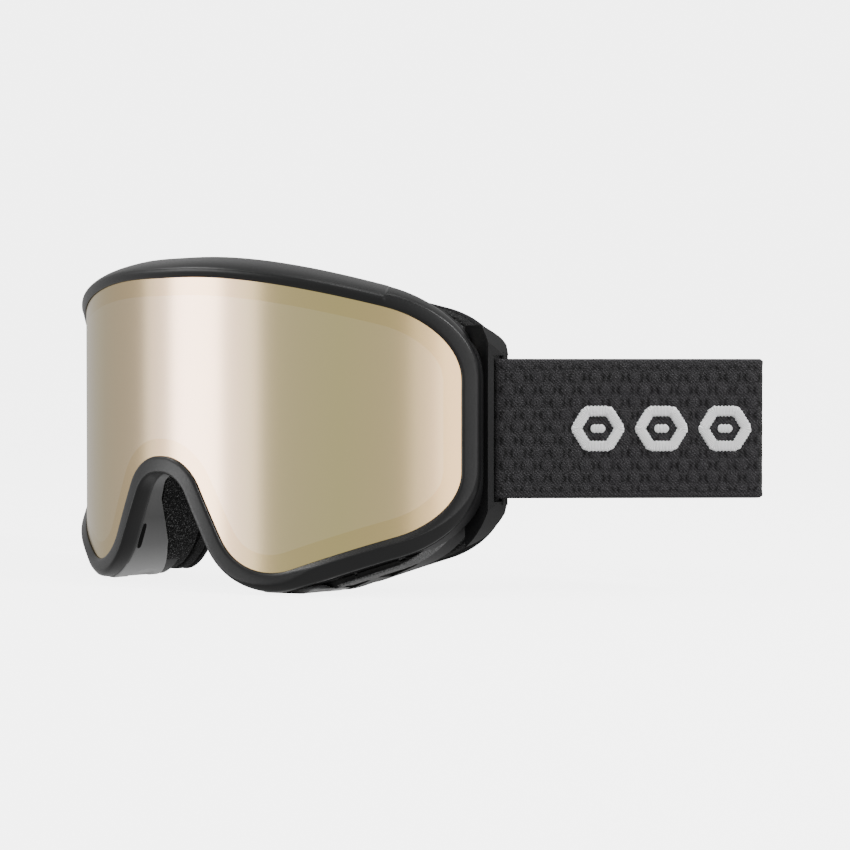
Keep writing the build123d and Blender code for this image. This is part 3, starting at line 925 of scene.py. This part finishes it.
def strap_run(side, flip):
    """Half of the back run, the fold, the side run, the turn round the slot bar and the layer back inside."""
    points = [
        Vector((0.02, FOLD.y, 0)),
        FOLD,
        at(-MAIN),
        BAR - OUT * MAIN - RUN * MAIN,
        BAR - OUT * MAIN + RUN * 3.0,
        at(26.0, INNER),
        at(RUN_LENGTH - 8.2, INNER),
    ]
    path = plan(points, [FOLD_BEND, MAIN - 0.02, MAIN - 0.02, 12.0, 12.0])
    lengths = [0.0]
    for (a, _), (b, _) in zip(path[:-1], path[1:]):
        lengths.append(lengths[-1] + (b - a).length)
    slot_u = lengths[min(range(len(path)), key=lambda k: (path[k][0] - at(0.0)).length)]

    def raised(u, face):
        return 0.25 if face < 0 else fade(slot_u - u, 1.5, 7.0)

    piece = webbing("webbing_" + side, path, raised, mirrored=flip)
    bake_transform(piece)
    if flip:
        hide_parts("strap_run_right")
    else:
        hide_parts("strap_run_left", "strap_back_run")


def strap_tail(side, flip):
    """The tail: its turn inside the fold, the straight length, and the wrap round the slider's bar."""
    crossing = FOLD.x + (TAIL_Y - FOLD.y) * RUN.x / RUN.y - 2.0 / RUN.y
    corners = [at(RUN_LENGTH - 8.4, INNER), Vector((crossing, TAIL_Y, 0)), Vector((FOLD.x - 10.0, TAIL_Y, 0))]
    bend = webbing("tail_bend_" + side, plan(corners, [1.6], 0.4), mirrored=flip, across=40)
    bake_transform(bend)
    corners = [Vector((x, TAIL_Y, 0)) for x in (FOLD.x - 9.6, FOLD.x - 18.0, SLIDER_X + 11.5)]
    tail = webbing("tail_" + side, plan(corners, [1.0], 1.0), mirrored=flip, across=40)
    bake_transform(tail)
    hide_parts("strap_tail_" + side)
    corners = [
        Vector((SLIDER_X + 12.0, TAIL_Y, 0)),
        Vector((SLIDER_X - LAP, TAIL_Y, 0)),
        Vector((SLIDER_X - LAP, BAR_Y - LAP, 0)),
        Vector((SLIDER_X + 9.0, BAR_Y - LAP, 0)),
    ]
    wrap = webbing("tail_wrap_" + side, plan(corners, [LAP - 0.02] * 2, 0.5), mirrored=flip, across=40)
    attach(wrap, side + "_slider")
    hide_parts("tail_loop_" + side)


# ---------------------------------------------------------------- raised motif: hexagon rings, a bar in each
MOTIF_START = 19.0
MOTIF_LENGTH = 15.5
MOTIF_GAP = 2.8
MOTIF_COUNT = 3
MOTIF_BASE = 0.62
HEXAGON = [(-6.3, 0), (-3.2, 5.0), (3.2, 5.0), (6.3, 0), (3.2, -5.0), (-3.2, -5.0)]
DASH = [(-2.1, 0), (2.1, 0)]
STITCH = ((-1.0, 0), (-0.93, 0.3), (-0.6, 0.42), (0, 0.46), (0.6, 0.42), (0.93, 0.3), (1.0, 0))


def satin_line(name, center, corners, stroke, closed, index, flip):
    """Raised stitched line along corner points round a place on the side run, with slightly toothed edges."""
    track = stitched(corners, closed)
    last = len(track) - 1
    rows = []
    run = [0.0]
    for k, (x, z) in enumerate(track):
        ahead = track[(k + 1) % len(track)] if closed else track[min(k + 1, last)]
        behind = track[k - 1] if closed else track[max(k - 1, 0)]
        dx, dz = ahead[0] - behind[0], ahead[1] - behind[1]
        length = math.hypot(dx, dz)
        nx, nz = -dz / length, dx / length
        run.append(run[-1] + length / 2)
        tooth = 0.13 * math.sin(run[-1] * 6.3) + 0.05 * math.sin(run[-1] * 11.0 + index)
        taper = 1.0 if closed else min(1.0, 0.25 + 1.2 * min(k, last - k) / 4)
        row = []
        for w, h in STITCH:
            off = w * (stroke + tooth * abs(w)) * taper
            p = at(center + x + nx * off, MOTIF_BASE + h)
            row.append((-p.x if flip else p.x, p.y, STRAP_Z + z + nz * off))
        rows.append(row)

    def uvs(i, j):
        return (run[min(i, len(run) - 1)], j * 0.5)

    return grid_mesh(name, rows, close_rows=closed, uvs=uvs)


def motif(side, flip):
    """Row of hexagon rings with a bar in each."""
    for index in range(MOTIF_COUNT):
        center = MOTIF_START + MOTIF_LENGTH / 2 + index * (MOTIF_LENGTH + MOTIF_GAP)
        for label, corners, stroke, closed in (("ring", HEXAGON, 1.5, True), ("bar", DASH, 1.2, False)):
            name = "motif_%s_%s_%d" % (label, side, index + 1)
            piece = satin_line(name, center, corners, stroke, closed, index, flip)
            paint(piece, motif_mat)
            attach(piece, side + "_strap")
            if closed and index == 0:
                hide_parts("strap_motif_" + side)


for side, flip in (("left", False), ("right", True)):
    strap_run(side, flip)
    strap_tail(side, flip)
    motif(side, flip)

# ---------------------------------------------------------------- floor, light and camera
def emission(mat, value):
    """Even glow of a neutral strength."""
    glow = node(mat, "ShaderNodeEmission", Strength=1.0)
    glow.inputs["Color"].default_value = (*grey(value), 1)
    return glow


def surroundings(name, mat, build):
    """Backdrop piece from a bmesh that build() fills; it neither lights nor shows in the object."""
    mesh = bpy.data.meshes.new(name)
    bm = bmesh.new()
    build(bm)
    bm.to_mesh(mesh)
    bm.free()
    piece = link(name, mesh)
    paint(piece, mat)
    piece.visible_diffuse = False
    piece.visible_glossy = False
    piece.visible_transmission = False
    return piece


floor_mat = material("floor", grey(0.86), 0.9)
blend = node(floor_mat, "ShaderNodeMixShader", Fac=0.6)
links = floor_mat.node_tree.links
links.new(emission(floor_mat, 11.6).outputs["Emission"], blend.inputs[1])
links.new(shader_of(floor_mat).outputs["BSDF"], blend.inputs[2])
wire(floor_mat, blend, "Shader", floor_mat.node_tree.nodes["Material Output"], "Surface")
floor = surroundings(
    "floor", floor_mat,
    lambda bm: bmesh.ops.create_circle(bm, cap_ends=True, segments=64, radius=12.0),
)
floor.location = (0, 0, -0.0004)

wall_mat = material("backdrop", grey(0.9), 0.9)
wire(wall_mat, emission(wall_mat, 5.0), "Emission", wall_mat.node_tree.nodes["Material Output"], "Surface")
backdrop = surroundings(
    "backdrop", wall_mat,
    lambda bm: bmesh.ops.create_uvsphere(bm, u_segments=48, v_segments=24, radius=11.9),
)
backdrop.visible_shadow = False

world = bpy.data.worlds.new("studio")
bpy.context.scene.world = world
world.use_nodes = True
sky = world.node_tree.nodes["Background"]
sky.inputs["Color"].default_value = (1.0, 1.0, 1.0, 1)
sky.inputs["Strength"].default_value = 0.8


def area(name, place, aim, size, power):
    """Rectangular soft light that faces its aim."""
    data = bpy.data.lights.new(name, "AREA")
    data.shape = "RECTANGLE"
    data.size, data.size_y = size
    data.energy = power
    lamp = bpy.data.objects.new(name, data)
    bpy.context.scene.collection.objects.link(lamp)
    lamp.location = place
    lamp.rotation_euler = (Vector(aim) - Vector(place)).to_track_quat("-Z", "Y").to_euler()
    return lamp


area("top_box", (0.15, -0.1, 0.8), (0, 0, 0.05), (0.35, 0.25), 1.3)
area("left_box", (-0.5, -0.5, 0.7), (0, 0, 0.05), (0.25, 0.25), 4.0)
area("right_box", (0.75, 0.1, 0.55), (0.05, 0, 0.05), (0.2, 0.4), 8.0)

# soft boxes that only show as light bands in the mirror lens: degrees round from the front, width, power
for name, turn, wide, power in (
    ("cream_band", -32, 0.46, 7.0), ("cream_fade", -14, 0.34, 1.3), ("pink_fade", -50, 0.3, 0.9),
    ("blush_band", 67, 0.46, 2.7), ("blush_fade", 52, 0.2, 0.4),
):
    spot = Vector((math.sin(math.radians(turn)), -math.cos(math.radians(turn)), 0)) * 1.2
    box = area(name, (spot.x, spot.y, 0.04), (0, 0, 0.04), (wide, 0.6), power)
    box.visible_diffuse = False

AZ, EL, DIST = math.radians(43.97), math.radians(1.11), 0.737
target = Vector((0, (LENS_Y + LENS_R) / 1000, MID_Z / 1000))
back = Vector((math.sin(AZ) * math.cos(EL), -math.cos(AZ) * math.cos(EL), math.sin(EL)))
data = bpy.data.cameras.new("camera")
camera = bpy.data.objects.new("camera", data)
bpy.context.scene.collection.objects.link(camera)
camera.location = target + back * DIST
camera.rotation_euler = back.to_track_quat("Z", "Y").to_euler()
data.sensor_width = 36.0
data.lens = 94.19
data.shift_x = 0.0216
data.clip_start = 0.01
data.clip_end = 50
bpy.context.scene.camera = camera
